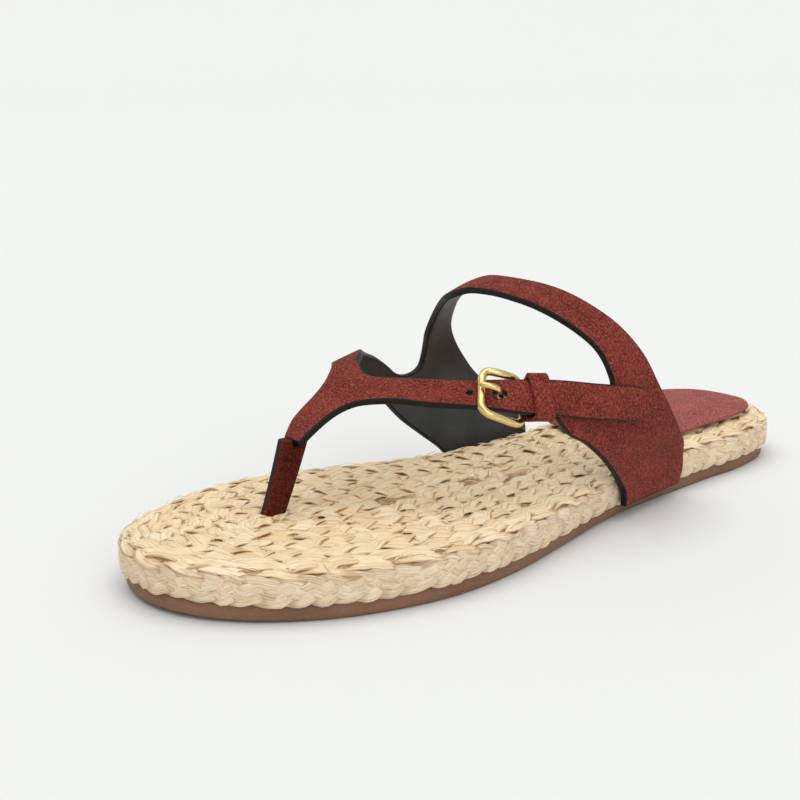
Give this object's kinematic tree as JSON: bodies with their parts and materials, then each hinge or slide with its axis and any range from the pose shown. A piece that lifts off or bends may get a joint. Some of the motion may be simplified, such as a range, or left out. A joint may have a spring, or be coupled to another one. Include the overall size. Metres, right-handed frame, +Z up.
{
  "type": "woven flip-flop sandal",
  "caption": "Flat thong sandal on a coiled raffia sole, with a suede thong, a high instep strap and a narrow buckled strap.",
  "frame": {"origin": "on the floor under the middle of the whole sandal", "axes": "+Z up, -Y towards the toe, +Y towards the heel, +X towards the outer side of the left foot"},
  "size_m": [0.0958, 0.25, 0.0748],
  "materials": {
    "rubber": "brown rubber sheet, matte, with a plain buffed edge",
    "raffia_side": "plaited straw-coloured raffia, satin, with darker gaps",
    "raffia": "coiled raffia plaits, satin, with golden-brown gaps",
    "suede": "burgundy suede with a short mottled nap, black painted edges and black lining",
    "suede_dark": "deep burgundy suede with black painted edges",
    "brass": "polished pale brass"
  },
  "bodies": {
    "root": {"outsole": "rubber", "midsole_braid": "raffia_side", "footbed_coils": "raffia", "heel_pad": "suede", "toe_post": "suede_dark", "upper": "suede", "keeper_loop": "suede", "buckle_frame": "brass", "buckle_prong": "brass"}
  },
  "joints": []
}
